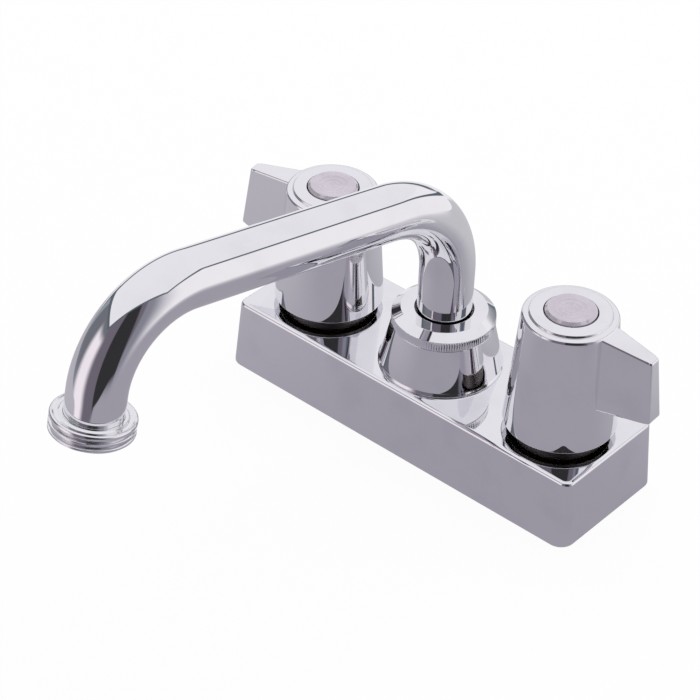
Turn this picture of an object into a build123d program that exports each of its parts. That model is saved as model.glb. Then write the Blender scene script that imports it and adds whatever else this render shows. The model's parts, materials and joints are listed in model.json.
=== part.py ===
from build123d import *
from math import cos, pi, radians, sin, sqrt, tan
import os

# Utility sink faucet: a centerset base with two wing handles and a swivel spout that ends in a hose thread.
# Millimetres. The origin is on the deck, on the spout's axis. -Y is the front, +X the cold side, +Z up.
os.makedirs("parts", exist_ok=True)

# Layout, from the 4 in spacing of the two valve centres
centre_span = 101.6
half_span = centre_span / 2

# Fits and gaps
running_gap = 0.1
fixed_gap = 0.05
loose_gap = 0.4
seat_gap = 0.2
overrun = 1.0

# Base shroud: the chromed cover with leaning walls
base_end = 23.7
base_length = centre_span + 2 * base_end
base_width = 50.6
base_height = 25.6
base_draft = 4.4
base_corner = 5.3
base_edge = 1.5
base_wall = 2.2
shroud_ceiling = base_height - base_wall

# Deck gasket
gasket_thickness = 4.0

# Inlet shanks and what clamps them under the deck
shank_radius = 10.4
shank_bore = 5.8
shank_length = 50.0
shank_flange_rim = 2.6
shank_flange = shank_radius + shank_flange_rim
stub_radius = 8.5
stub_length = 7.0
relief_depth = 0.6
relief_width = 1.0
deck_grip = 17.6
washer_rim = 7.1
washer_radius = shank_radius + washer_rim
washer_thickness = 1.5
lock_nut_wall = 4.6
lock_nut_flats = 2 * (shank_radius + lock_nut_wall)
lock_nut_height = 9.0
lock_washer_top = -deck_grip - relief_width / 2
lock_nut_top = lock_washer_top - washer_thickness
lock_nut_bottom = lock_nut_top - lock_nut_height

# Stem: it sets the radii of what turns in the valve
stem_radius = 4.05
stem_foot_radius = 7.2
stem_foot_height = 3.5
stem_hole = 2.45
stem_hole_depth = 11.0
spline_count = 20
spline_depth = 0.35
stem_seal_section = 0.5
stem_groove_width = 1.0
stem_seal_spacing = 4.0
stem_seal_rise = 5.5
clip_groove = 0.75
clip_thickness = 0.8
clip_gap = 4.0
clip_rim = 1.95
clip_radius = stem_radius + clip_rim

# Ceramic discs and the seal under them
disc_radius = stem_foot_radius
fixed_disc_height = 3.5
moving_disc_height = 3.0
disc_port_radius = 2.6
disc_port_offset = 3.6
seat_seal_inset = 0.3
seat_seal_radius = disc_radius - seat_seal_inset
seat_seal_height = 3.5

# Bonnet: its radii, from the stem's foot outwards
bonnet_cavity = disc_radius + running_gap
bonnet_skirt_wall = 1.3
bonnet_skirt = bonnet_cavity + bonnet_skirt_wall
bonnet_step = 1.8
bonnet_thread = bonnet_skirt + bonnet_step
bonnet_thread_length = 11.0
bonnet_flange_rim = 1.8
bonnet_flange = bonnet_thread + bonnet_flange_rim
bonnet_flange_height = 2.0
bonnet_flats = 19.0
bonnet_hex_height = 5.0
bonnet_neck_wall = 1.95
bonnet_neck = stem_radius + bonnet_neck_wall
bonnet_neck_height = 2.5
bonnet_seal_height = 1.0
bonnet_overlap = 1.0
window_width = 7.0
window_height = 5.0

# Valve body: two towers, a middle socket and the water passage between them
tower_bore = bonnet_thread + running_gap
tower_wall = 2.7
tower_radius = tower_bore + tower_wall
tower_rise = 14.4
tower_top = base_height + tower_rise
seat_floor = gasket_thickness + stub_length
seat_thickness = 2.5
seat_port = 4.5
passage_radius = 4.8
passage_bore = 3.6
passage_height = shroud_ceiling - seat_gap - passage_radius
socket_floor = seat_floor
socket_web = 3.0

# Heights in the valve, from the seat up to the clip on the stem
seat_top = seat_floor + seat_thickness
fixed_disc_bottom = seat_top + seat_seal_height
moving_disc_bottom = fixed_disc_bottom + fixed_disc_height
stem_foot_bottom = moving_disc_bottom + moving_disc_height
stem_foot_top = stem_foot_bottom + stem_foot_height
bonnet_foot = fixed_disc_bottom - bonnet_overlap
bonnet_thread_bottom = tower_top - bonnet_thread_length
bonnet_flange_bottom = tower_top + bonnet_seal_height
bonnet_hex_bottom = bonnet_flange_bottom + bonnet_flange_height
bonnet_neck_bottom = bonnet_hex_bottom + bonnet_hex_height
bonnet_top = bonnet_neck_bottom + bonnet_neck_height
clip_bottom = bonnet_top + running_gap - fixed_gap
stem_seal_height = stem_foot_top + stem_seal_rise

# Ring nuts that hold the shroud down, hidden by the handles
ring_nut_rim = 2.2
ring_nut_radius = tower_radius + ring_nut_rim
ring_nut_height = 2.5

# Spout: a tube bent twice
tube_radius = 9.35
tube_wall = 1.0
riser_rise = 15.6
first_bend = 36.3
arm_rise = 9.0
arm_length = 83.0
second_bend = 30.6
outlet_tilt = 10.0
tail_length = 7.4
spout_swivel = 6.0

# Sleeve at the tube's foot, its two seals and the slip washer
sleeve_wall = 1.95
sleeve_radius = tube_radius + sleeve_wall
sleeve_length = 17.5
tube_socket_depth = 8.0
seal_groove_depth = 1.75
seal_groove_width = 2.2
seal_section = 0.85
seal_inset = 3.2
seal_spacing = 4.2
slip_washer_thickness = 1.2
slip_washer_gap = 0.3

# Spout hub and nut, from the sleeve outwards
socket_bore = sleeve_radius + running_gap
socket_wall = 1.6
socket_radius = socket_bore + socket_wall
nut_spigot_wall = 2.7
nut_spigot_inner = socket_radius + seat_gap
nut_spigot_outer = nut_spigot_inner + nut_spigot_wall
nut_spigot_length = 9.0
hub_rim = 1.5
hub_flare = 4.3
hub_head_radius = nut_spigot_outer + hub_rim
hub_foot_radius = hub_head_radius + hub_flare
hub_height = 16.6
hub_top = base_height + hub_height
hub_thread_depth = 6.5
hub_edge = 0.4
hub_bead_height = 1.3
hub_bead_width = 0.75
nut_overhang = 0.3
nut_radius = hub_head_radius + nut_overhang
nut_band = 3.4
nut_bevel_height = 2.3
nut_bevel_width = 3.0
nut_hole_gap = 0.7
nut_hole = tube_radius + nut_hole_gap
knurl_count = 128
knurl_depth = 0.28
nut_flange_bottom = hub_top + running_gap
nut_shoulder = nut_flange_bottom + nut_band
nut_top = nut_shoulder + nut_bevel_height
socket_top = hub_top + running_gap
nut_plate_bottom = socket_top + seat_gap
sleeve_top = nut_plate_bottom - slip_washer_gap - slip_washer_thickness
sleeve_bottom = sleeve_top - sleeve_length
sleeve_socket_bottom = sleeve_top - tube_socket_depth
tube_foot = sleeve_socket_bottom + fixed_gap
riser_top = nut_top + riser_rise

# Hose thread at the outlet
thread_radius = 13.4
thread_depth = 1.2
thread_pitch = 2.209
thread_crest = 0.55
thread_turns = 2
collar_thickness = 1.6
collar_edge = 0.5
outlet_lip = 1.85
outlet_bore = tube_radius - outlet_lip
outlet_socket_depth = 4.2

# Handle: a flaring canopy with a stepped top, over the valve
skirt_clearance = 1.7
skirt_gap = 3.1
handle_wall = 2.0
skirt_radius = ring_nut_radius + skirt_clearance + handle_wall
skirt_height = base_height + skirt_gap
rim_inset = 3.2
rim_radius = skirt_radius - rim_inset
rim_edge = 1.1
plateau_inset = 2.2
plateau_radius = rim_radius - plateau_inset
plateau_rise = 1.0
plateau_edge = 0.6
handle_web = 3.8
handle_boss_wall = 3.15
handle_boss = stem_radius + handle_boss_wall
handle_boss_length = 7.6
boss_clearance = 1.25
button_pit_depth = 8.6
handle_boss_bottom = clip_bottom + clip_thickness + boss_clearance
handle_web_bottom = handle_boss_bottom + handle_boss_length
button_pit_floor = handle_web_bottom + handle_web
plateau_height = button_pit_floor + button_pit_depth
rim_height = plateau_height - plateau_rise
stem_top = handle_web_bottom - fixed_gap
stem_end_bottom = handle_boss_bottom - fixed_gap

# Wing lever, along the handle's own x direction
wing_reach = 32.6
wing_lean = 6.0
wing_root_half = 4.9
wing_tip_half = 2.4
wing_draft = 3.0
wing_drop = 0.6
wing_fall = 2.4
wing_root_depth = 27.6
wing_tip_depth = 23.2
wing_root_start = 9.0
wing_edge = 1.0
hot_wing_turn = 8.0
cold_wing_turn = 3.3
wing_top_root = rim_height - wing_drop
wing_top_tip = wing_top_root - wing_fall
wing_under_root = wing_top_root - wing_root_depth
wing_under_tip = wing_top_tip - wing_tip_depth

# Index button
button_radius = 8.6
button_gap = 0.35
button_pit = button_radius + button_gap
button_proud = 1.1
button_top = plateau_height + button_proud
button_cap = 3.6
button_bevel = 0.9
button_dish_radius = 6.3
button_dish_depth = 0.5
button_skirt_wall = 1.6

# Handle screw
screw_radius = stem_hole - fixed_gap
screw_head_radius = 4.4
screw_head_height = 2.8
screw_length = 13.5
screw_slot_width = 1.2
screw_slot_length = 5.0
screw_slot_depth = 1.6


def side_axis(x):
    """The upright axis through a valve centre at x."""
    return Axis((x, 0, 0), (0, 0, 1))


def side_section(x, turn=0.0):
    """A plane through a valve's axis: local x points out at this angle, local y points up."""
    out = Vector(cos(radians(turn)), sin(radians(turn)), 0)
    return Plane(origin=(x, 0, 0), x_dir=out, z_dir=out.cross(Vector(0, 0, 1)))


def side_level(x, z, turn=0.0):
    """A level plane at height z on a valve's axis, turned by this angle."""
    return Plane(origin=(x, 0, z), x_dir=(cos(radians(turn)), sin(radians(turn)), 0), z_dir=(0, 0, 1))


def toothed_ring(count, outer, depth):
    """Corner points of a ring of pointed teeth, each running from outer down by depth."""
    step = pi / count
    radii = [outer, outer - depth]
    return [(radii[i % 2] * cos(i * step), radii[i % 2] * sin(i * step)) for i in range(2 * count)]


def save(part, name):
    """Label one finished sub-part and write its file."""
    part.label = name
    export_step(part, f"parts/{name}.step")


# Base shroud
with BuildPart() as base_shroud:
    with BuildSketch(Plane.XY):
        RectangleRounded(base_length, base_width, base_corner)
    extrude(amount=base_height, taper=base_draft)
    fillet(base_shroud.faces().sort_by(Axis.Z)[-1].edges(), base_edge)
    with BuildSketch(Plane.XY):
        RectangleRounded(base_length - 2 * base_wall, base_width - 2 * base_wall, base_corner - base_wall)
    extrude(amount=shroud_ceiling, taper=base_draft, mode=Mode.SUBTRACT)
    with BuildSketch(Plane.XY.offset(base_height)):
        with Locations((-half_span, 0), (half_span, 0)):
            Circle(tower_radius + loose_gap)
        Circle(socket_radius + loose_gap)
    extrude(amount=-2 * base_wall, mode=Mode.SUBTRACT)
save(base_shroud.part, "base_shroud")

# Deck gasket: a pad that fills the shroud's open underside
pad_inset = base_wall + loose_gap + gasket_thickness * tan(radians(base_draft))
with BuildPart() as base_gasket:
    with BuildSketch(Plane.XY):
        RectangleRounded(base_length - 2 * pad_inset, base_width - 2 * pad_inset, base_corner - base_wall)
        with Locations((-half_span, 0), (half_span, 0)):
            Circle(shank_flange + loose_gap, mode=Mode.SUBTRACT)
    extrude(amount=gasket_thickness)
save(base_gasket.part, "base_gasket")

# Valve body: one casting
with BuildPart() as valve_body:
    with BuildSketch(Plane.XY.offset(gasket_thickness)):
        with Locations((-half_span, 0), (half_span, 0)):
            Circle(tower_radius)
    extrude(amount=tower_top - gasket_thickness)
    with BuildSketch(Plane.XY.offset(socket_floor)):
        Circle(socket_radius)
    extrude(amount=socket_top - socket_floor)
    with BuildSketch(Plane.YZ):
        with Locations((0, passage_height)):
            Circle(passage_radius)
    extrude(amount=half_span, both=True)
    with BuildSketch(Plane.YZ):
        with Locations((0, passage_height)):
            Circle(passage_bore)
    extrude(amount=half_span, both=True, mode=Mode.SUBTRACT)
    with BuildSketch(Plane.XY.offset(seat_top)):
        with Locations((-half_span, 0), (half_span, 0)):
            Circle(tower_bore)
    extrude(amount=tower_top - seat_top, mode=Mode.SUBTRACT)
    with BuildSketch(Plane.XY.offset(gasket_thickness)):
        with Locations((-half_span, 0), (half_span, 0)):
            Circle(stub_radius + fixed_gap)
    extrude(amount=stub_length, mode=Mode.SUBTRACT)
    with BuildSketch(Plane.XY.offset(seat_top)):
        with Locations((-half_span, 0), (half_span, 0)):
            Circle(seat_port)
    extrude(amount=-seat_thickness, mode=Mode.SUBTRACT)
    with BuildSketch(Plane.XY.offset(socket_floor + socket_web)):
        Circle(socket_bore)
    extrude(amount=socket_top - socket_floor - socket_web, mode=Mode.SUBTRACT)
save(valve_body.part, "valve_body")

# Spout hub: the cone that stands on the shroud, threaded on the middle socket
with BuildPart() as spout_hub:
    with BuildSketch(Plane.XZ):
        with BuildLine():
            Polyline(
                (socket_radius + fixed_gap, base_height),
                (hub_foot_radius, base_height),
                (hub_foot_radius - hub_bead_width, base_height + hub_bead_height),
                (hub_head_radius, hub_top),
                (nut_spigot_outer + fixed_gap, hub_top),
                (nut_spigot_outer + fixed_gap, base_height + hub_thread_depth),
                (socket_radius + fixed_gap, base_height + hub_thread_depth),
                close=True,
            )
        make_face()
    revolve(axis=Axis.Z)
    fillet(spout_hub.edges().filter_by(GeomType.CIRCLE).sort_by(SortBy.RADIUS)[-1], hub_edge)
save(spout_hub.part, "spout_hub")

# Spout nut: knurled band, bevel and flat top round the tube
with BuildPart() as spout_nut:
    with BuildSketch(Plane.XY.offset(nut_flange_bottom)):
        Polygon(*toothed_ring(knurl_count, nut_radius, knurl_depth), align=None)
        Circle(nut_hole, mode=Mode.SUBTRACT)
    extrude(amount=nut_band)
    with BuildSketch(Plane.XZ):
        with BuildLine():
            Polyline(
                (nut_hole, nut_plate_bottom),
                (nut_hole, nut_top),
                (nut_radius - nut_bevel_width, nut_top),
                (nut_radius, nut_shoulder),
                (nut_spigot_inner, nut_shoulder),
                (nut_spigot_inner, nut_plate_bottom),
                close=True,
            )
        make_face()
    revolve(axis=Axis.Z)
    with BuildSketch(Plane.XY.offset(nut_plate_bottom)):
        Circle(nut_spigot_outer)
    extrude(amount=-nut_spigot_length)
    with BuildSketch(Plane.XY.offset(nut_plate_bottom)):
        Circle(nut_spigot_inner)
    extrude(amount=-nut_spigot_length - overrun, mode=Mode.SUBTRACT)
save(spout_nut.part, "spout_nut")

# Spout tube, in the upright plane that the spout points along
spout_out = Vector(-sin(radians(spout_swivel)), -cos(radians(spout_swivel)), 0)
spout_plane = Plane(origin=(0, 0, 0), x_dir=spout_out, z_dir=spout_out.cross(Vector(0, 0, 1)))
first_turn = 90 - arm_rise
second_turn = 90 + arm_rise - outlet_tilt
with BuildPart() as spout_tube:
    with BuildLine(spout_plane) as spout_path:
        riser = Line((0, tube_foot), (0, riser_top))
        lower_bend = JernArc(start=riser @ 1, tangent=riser % 1, radius=first_bend, arc_size=-first_turn)
        arm = PolarLine(lower_bend @ 1, arm_length, direction=lower_bend % 1)
        upper_bend = JernArc(start=arm @ 1, tangent=arm % 1, radius=second_bend, arc_size=-second_turn)
        tail = PolarLine(upper_bend @ 1, tail_length + outlet_socket_depth, direction=upper_bend % 1)
    with BuildSketch(Plane.XY.offset(tube_foot)):
        Circle(tube_radius)
        Circle(tube_radius - tube_wall, mode=Mode.SUBTRACT)
    sweep(path=spout_path.wires()[0])
save(spout_tube.part, "spout_tube")

# The outlet's own axis: its origin is where the tube enters the collar, its z runs out with the water
outlet_start = tail @ (tail_length / (tail_length + outlet_socket_depth))
outlet_dir = tail % 1
outlet_side = outlet_dir.cross(spout_plane.z_dir)
outlet_section = Plane(origin=outlet_start, x_dir=outlet_side, z_dir=spout_plane.z_dir)
outlet_axis = Axis(outlet_start, outlet_dir)
print("outlet starts at", tuple(round(v, 3) for v in outlet_start))
print("outlet points along", tuple(round(v, 5) for v in outlet_dir))

# Hose thread end: a collar with ridges, brazed on the tube. A crest, two flanks and a root share the pitch.
thread_root = thread_radius - thread_depth
thread_flank = (thread_pitch - thread_crest) / 3
thread_first = collar_thickness + thread_pitch / 2 + thread_crest
thread_end = thread_first + thread_pitch * (thread_turns - 1) + thread_crest / 2 + thread_flank
ridge_points = []
for turn in range(thread_turns):
    middle = thread_first + turn * thread_pitch
    for at, radius in (
        (-thread_crest / 2 - thread_flank, thread_root),
        (-thread_crest / 2, thread_radius),
        (thread_crest / 2, thread_radius),
        (thread_crest / 2 + thread_flank, thread_root),
    ):
        ridge_points.append((radius, middle + at))
with BuildPart() as hose_thread_end:
    with BuildSketch(outlet_section):
        with BuildLine():
            Polyline(
                (tube_radius + fixed_gap, 0),
                (thread_radius - collar_edge, 0),
                (thread_radius, collar_edge),
                (thread_radius, collar_thickness),
                (thread_root, collar_thickness + thread_flank / 2),
                *ridge_points,
                (thread_root, thread_end + collar_edge),
                (outlet_bore, thread_end + collar_edge),
                (outlet_bore, outlet_socket_depth + fixed_gap),
                (tube_radius + fixed_gap, outlet_socket_depth + fixed_gap),
                close=True,
            )
        make_face()
    revolve(axis=outlet_axis)
save(hose_thread_end.part, "hose_thread_end")

# Sleeve on the tube's foot, with two seal grooves
groove_heights = [sleeve_bottom + seal_inset + i * seal_spacing for i in range(2)]
with BuildPart() as spout_sleeve:
    with BuildSketch(Plane.XY.offset(sleeve_bottom)):
        Circle(sleeve_radius)
        Circle(tube_radius - tube_wall, mode=Mode.SUBTRACT)
    extrude(amount=sleeve_top - sleeve_bottom)
    with BuildSketch(Plane.XY.offset(sleeve_socket_bottom)):
        Circle(tube_radius + fixed_gap)
    extrude(amount=tube_socket_depth, mode=Mode.SUBTRACT)
    for height in groove_heights:
        with BuildSketch(Plane.XY.offset(height - seal_groove_width / 2)):
            Circle(sleeve_radius + overrun)
            Circle(sleeve_radius - seal_groove_depth, mode=Mode.SUBTRACT)
        extrude(amount=seal_groove_width, mode=Mode.SUBTRACT)
save(spout_sleeve.part, "spout_sleeve")

with BuildPart() as spout_seals:
    with BuildSketch(Plane.XZ):
        with Locations(*[(socket_bore - fixed_gap - seal_section, height) for height in groove_heights]):
            Circle(seal_section)
    revolve(axis=Axis.Z)
save(spout_seals.part, "spout_seals")

with BuildPart() as slip_washer:
    with BuildSketch(Plane.XY.offset(sleeve_top)):
        Circle(sleeve_radius)
        Circle(tube_radius + fixed_gap, mode=Mode.SUBTRACT)
    extrude(amount=slip_washer_thickness)
save(slip_washer.part, "slip_washer")


def inlet_shank(x, name):
    """Threaded inlet shank: flange in the gasket, stub up into the casting, thread down through the deck."""
    lower_relief = lock_nut_bottom - relief_width / 2
    with BuildPart() as shank:
        with BuildSketch(side_section(x)):
            with BuildLine():
                Polyline(
                    (shank_bore, gasket_thickness + stub_length),
                    (stub_radius, gasket_thickness + stub_length),
                    (stub_radius, gasket_thickness),
                    (shank_flange, gasket_thickness),
                    (shank_flange, 0),
                    (shank_radius, 0),
                    (shank_radius, -deck_grip),
                    (shank_radius - relief_depth, -deck_grip),
                    (shank_radius - relief_depth, -deck_grip - relief_width),
                    (shank_radius, -deck_grip - relief_width),
                    (shank_radius, lower_relief + relief_width / 2),
                    (shank_radius - relief_depth, lower_relief + relief_width / 2),
                    (shank_radius - relief_depth, lower_relief - relief_width / 2),
                    (shank_radius, lower_relief - relief_width / 2),
                    (shank_radius, -shank_length + relief_depth),
                    (shank_radius - relief_depth, -shank_length),
                    (shank_bore, -shank_length),
                    close=True,
                )
            make_face()
        revolve(axis=side_axis(x))
    save(shank.part, name)


def mounting_washer(x, name):
    """Flat washer under the deck."""
    with BuildPart() as washer:
        with BuildSketch(side_level(x, lock_nut_top)):
            Circle(washer_radius)
            Circle(shank_radius + fixed_gap, mode=Mode.SUBTRACT)
        extrude(amount=washer_thickness)
    save(washer.part, name)


def mounting_nut(x, name):
    """Hexagon lock nut under the washer."""
    with BuildPart() as nut:
        with BuildSketch(side_level(x, lock_nut_bottom)):
            RegularPolygon(lock_nut_flats / 2, 6, major_radius=False)
            Circle(shank_radius + fixed_gap, mode=Mode.SUBTRACT)
        extrude(amount=lock_nut_height)
        with BuildSketch(side_section(x)):
            with BuildLine():
                corner = lock_nut_flats / 2 / cos(pi / 6)
                Polyline(
                    (lock_nut_flats / 2, lock_nut_bottom),
                    (corner + overrun, lock_nut_bottom),
                    (corner + overrun, lock_nut_bottom + (corner + overrun - lock_nut_flats / 2) / sqrt(3)),
                    close=True,
                )
            make_face()
        revolve(axis=side_axis(x), mode=Mode.SUBTRACT)
    save(nut.part, name)


def ring_nut(x, name):
    """Thin ring nut that holds the shroud down on a tower."""
    with BuildPart() as ring:
        with BuildSketch(side_level(x, base_height)):
            Circle(ring_nut_radius)
            Circle(tower_radius + fixed_gap, mode=Mode.SUBTRACT)
        extrude(amount=ring_nut_height)
    save(ring.part, name)


def valve_bonnet(x, name):
    """Bonnet: windowed skirt round the discs, thread, flange, hexagon and neck."""
    with BuildPart() as bonnet:
        with BuildSketch(side_section(x)):
            with BuildLine():
                Polyline(
                    (bonnet_cavity, bonnet_foot),
                    (bonnet_skirt, bonnet_foot),
                    (bonnet_skirt, bonnet_thread_bottom),
                    (bonnet_thread, bonnet_thread_bottom),
                    (bonnet_thread, bonnet_flange_bottom),
                    (bonnet_flange, bonnet_flange_bottom),
                    (bonnet_flange, bonnet_hex_bottom),
                    (bonnet_neck, bonnet_hex_bottom),
                    (bonnet_neck, bonnet_top),
                    (stem_radius + running_gap, bonnet_top),
                    (stem_radius + running_gap, stem_foot_top + running_gap),
                    (bonnet_cavity, stem_foot_top + running_gap),
                    close=True,
                )
            make_face()
        revolve(axis=side_axis(x))
        with BuildSketch(side_level(x, bonnet_hex_bottom)):
            RegularPolygon(bonnet_flats / 2, 6, major_radius=False)
            Circle(stem_radius + running_gap, mode=Mode.SUBTRACT)
        extrude(amount=bonnet_hex_height)
        with BuildSketch(side_level(x, moving_disc_bottom)):
            Rectangle(window_width, 2 * (bonnet_skirt + overrun))
            Circle(bonnet_cavity - overrun, mode=Mode.SUBTRACT)
        extrude(amount=window_height, mode=Mode.SUBTRACT)
    save(bonnet.part, name)


def bonnet_seal(x, name):
    """Flat ring between the tower's top and the bonnet's flange."""
    with BuildPart() as seal:
        with BuildSketch(side_level(x, tower_top)):
            Circle(bonnet_flange)
            Circle(bonnet_thread + fixed_gap, mode=Mode.SUBTRACT)
        extrude(amount=bonnet_seal_height)
    save(seal.part, name)


def seat_seal(x, name):
    """Rubber ring between the casting's seat and the fixed disc."""
    with BuildPart() as seal:
        with BuildSketch(side_level(x, seat_top)):
            Circle(seat_seal_radius)
            Circle(seat_port, mode=Mode.SUBTRACT)
        extrude(amount=seat_seal_height)
    save(seal.part, name)


def fixed_disc(x, name):
    """Lower ceramic disc with its two ports."""
    with BuildPart() as disc:
        with BuildSketch(side_level(x, fixed_disc_bottom)):
            Circle(disc_radius)
            with Locations((disc_port_offset, 0), (-disc_port_offset, 0)):
                Circle(disc_port_radius, mode=Mode.SUBTRACT)
        extrude(amount=fixed_disc_height)
    save(disc.part, name)


def moving_disc(x, name):
    """Upper ceramic disc: its two ports stand across the lower ones when the valve is shut."""
    with BuildPart() as disc:
        with BuildSketch(side_level(x, moving_disc_bottom)):
            Circle(disc_radius)
            with Locations((0, disc_port_offset), (0, -disc_port_offset)):
                Circle(disc_port_radius, mode=Mode.SUBTRACT)
        extrude(amount=moving_disc_height)
    save(disc.part, name)


def stem_seal_heights():
    """Heights of the stem's two seal grooves."""
    return [stem_seal_height + i * stem_seal_spacing for i in range(2)]


def valve_stem(x, turn, name):
    """Stem: foot on the moving disc, shaft with seal and clip grooves, splined end with a screw hole."""
    with BuildPart() as stem:
        with BuildSketch(side_level(x, stem_foot_bottom)):
            Circle(stem_foot_radius)
        extrude(amount=stem_foot_height)
        with BuildSketch(side_level(x, stem_foot_top)):
            Circle(stem_radius)
        extrude(amount=stem_end_bottom - stem_foot_top)
        with BuildSketch(side_level(x, stem_end_bottom, turn)):
            Polygon(*toothed_ring(spline_count, stem_radius, spline_depth), align=None)
        extrude(amount=stem_top - stem_end_bottom)
        for height in stem_seal_heights():
            with BuildSketch(side_level(x, height - stem_groove_width / 2)):
                Circle(stem_radius + overrun)
                Circle(stem_radius - 2 * stem_seal_section, mode=Mode.SUBTRACT)
            extrude(amount=stem_groove_width, mode=Mode.SUBTRACT)
        with BuildSketch(side_level(x, clip_bottom - fixed_gap)):
            Circle(stem_radius + overrun)
            Circle(stem_radius - clip_groove, mode=Mode.SUBTRACT)
        extrude(amount=clip_thickness + 2 * fixed_gap, mode=Mode.SUBTRACT)
        with BuildSketch(side_level(x, stem_top)):
            Circle(stem_hole)
        extrude(amount=-stem_hole_depth, mode=Mode.SUBTRACT)
    save(stem.part, name)


def stem_seals(x, name):
    """The two seals round the stem."""
    with BuildPart() as seals:
        with BuildSketch(side_section(x)):
            centre = stem_radius + running_gap / 2 - stem_seal_section
            with Locations(*[(centre, height) for height in stem_seal_heights()]):
                Circle(stem_seal_section - fixed_gap / 2)
        revolve(axis=side_axis(x))
    save(seals.part, name)


def stem_clip(x, turn, name):
    """Open ring that keeps the stem in the bonnet."""
    with BuildPart() as clip:
        with BuildSketch(side_level(x, clip_bottom, turn)):
            Circle(clip_radius)
            Circle(stem_radius - clip_groove + fixed_gap, mode=Mode.SUBTRACT)
            with Locations((clip_radius / 2 + overrun, 0)):
                Rectangle(clip_radius + overrun, clip_gap, mode=Mode.SUBTRACT)
        extrude(amount=clip_thickness)
    save(clip.part, name)


def handle_screw(x, turn, name):
    """Pan-head screw down through the handle into the stem."""
    with BuildPart() as screw:
        with BuildSketch(side_level(x, button_pit_floor)):
            Circle(screw_head_radius)
        extrude(amount=screw_head_height)
        fillet(screw.faces().sort_by(Axis.Z)[-1].edges(), screw_head_height / 2)
        with BuildSketch(side_level(x, button_pit_floor)):
            Circle(screw_radius)
        extrude(amount=-screw_length)
        with BuildSketch(side_level(x, button_pit_floor + screw_head_height, turn)):
            Rectangle(screw_slot_length, screw_slot_width)
            Rectangle(screw_slot_width, screw_slot_length)
        extrude(amount=-screw_slot_depth, mode=Mode.SUBTRACT)
    save(screw.part, name)


def index_button(x, name):
    """Round button: a bevelled cap with a shallow dish, and a hollow skirt that plugs into the handle."""
    cap_bottom = button_top - button_cap
    dish_sphere = (button_dish_radius**2 + button_dish_depth**2) / (2 * button_dish_depth)
    with BuildPart() as button:
        with BuildSketch(side_section(x)):
            with BuildLine():
                Polyline(
                    (0, button_top - button_dish_depth),
                    (0, cap_bottom),
                    (button_radius - button_skirt_wall, cap_bottom),
                    (button_radius - button_skirt_wall, button_pit_floor + seat_gap),
                    (button_radius, button_pit_floor + seat_gap),
                    (button_radius, button_top - button_bevel),
                    (button_radius - button_bevel, button_top),
                    (button_dish_radius, button_top),
                )
                RadiusArc((button_dish_radius, button_top), (0, button_top - button_dish_depth), dish_sphere)
            make_face()
        revolve(axis=side_axis(x))
    save(button.part, name)


def wing_section(x, turn, out, lean, top, under, half):
    """One end of the wing: a four-sided outline that widens downwards, on a plane that may lean outwards."""
    level = side_section(x, turn)
    z_dir = level.x_dir * cos(radians(lean)) + Vector(0, 0, 1) * sin(radians(lean))
    plane = Plane(origin=level.from_local_coords((out, top, 0)), x_dir=-level.z_dir, z_dir=z_dir)
    drop = (top - under) / cos(radians(lean))
    foot = half + (top - under) * tan(radians(wing_draft))
    with BuildSketch(plane) as outline:
        with BuildLine():
            Polyline((-half, 0), (half, 0), (foot, -drop), (-foot, -drop), close=True)
        make_face()
    return outline


def wing_handle(x, turn, name):
    """Handle: hollow flaring body with a stepped top, a button pit, a splined boss and the wing lever."""
    slope = (skirt_radius - rim_radius) / (rim_height - skirt_height)
    roof_radius = rim_radius + slope * (rim_height - handle_web_bottom) - handle_wall
    root = wing_section(x, turn, wing_root_start, 0, wing_top_root, wing_under_root, wing_root_half)
    tip = wing_section(x, turn, wing_reach, wing_lean, wing_top_tip, wing_under_tip, wing_tip_half)
    with BuildPart() as handle:
        loft([root.sketch.face(), tip.sketch.face()], ruled=True)
        tip_side = Vector(cos(radians(turn)), sin(radians(turn)), 0)
        root_edges = handle.faces().sort_by(Axis((x, 0, 0), tip_side))[0].edges()
        fillet([edge for edge in handle.edges() if edge not in root_edges], wing_edge)
        with BuildSketch(side_section(x, turn)):
            with BuildLine():
                Polyline(
                    (0, skirt_height),
                    (skirt_radius, skirt_height),
                    (rim_radius, rim_height),
                    (plateau_radius, rim_height),
                    (plateau_radius, plateau_height),
                    (0, plateau_height),
                    close=True,
                )
            make_face()
        revolve(axis=side_axis(x))
        with BuildSketch(side_section(x, turn)):
            with BuildLine():
                Polyline(
                    (0, skirt_height - overrun),
                    (skirt_radius - handle_wall + slope * overrun, skirt_height - overrun),
                    (roof_radius, handle_web_bottom),
                    (handle_boss, handle_web_bottom),
                    (handle_boss, handle_boss_bottom),
                    (0, handle_boss_bottom),
                    close=True,
                )
            make_face()
        revolve(axis=side_axis(x), mode=Mode.SUBTRACT)
        with BuildSketch(side_level(x, handle_web_bottom, turn)):
            Polygon(*toothed_ring(spline_count, stem_radius + fixed_gap, spline_depth), align=None)
        extrude(amount=-handle_boss_length, mode=Mode.SUBTRACT)
        with BuildSketch(side_level(x, button_pit_floor)):
            Circle(screw_radius + fixed_gap)
        extrude(amount=-handle_web, mode=Mode.SUBTRACT)
        with BuildSketch(side_level(x, plateau_height)):
            Circle(button_pit)
        extrude(amount=button_pit_floor - plateau_height, mode=Mode.SUBTRACT)
        rounded = handle.edges().filter_by(GeomType.CIRCLE).filter_by(
            lambda e: abs(e.radius - rim_radius) < fixed_gap and abs(e.center().Z - rim_height) < fixed_gap
        )
        fillet(rounded, rim_edge)
        stepped = handle.edges().filter_by(GeomType.CIRCLE).filter_by(
            lambda e: abs(e.radius - plateau_radius) < fixed_gap and e.center().Z > rim_height + fixed_gap
        )
        fillet(stepped, plateau_edge)
    save(handle.part, name)


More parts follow.
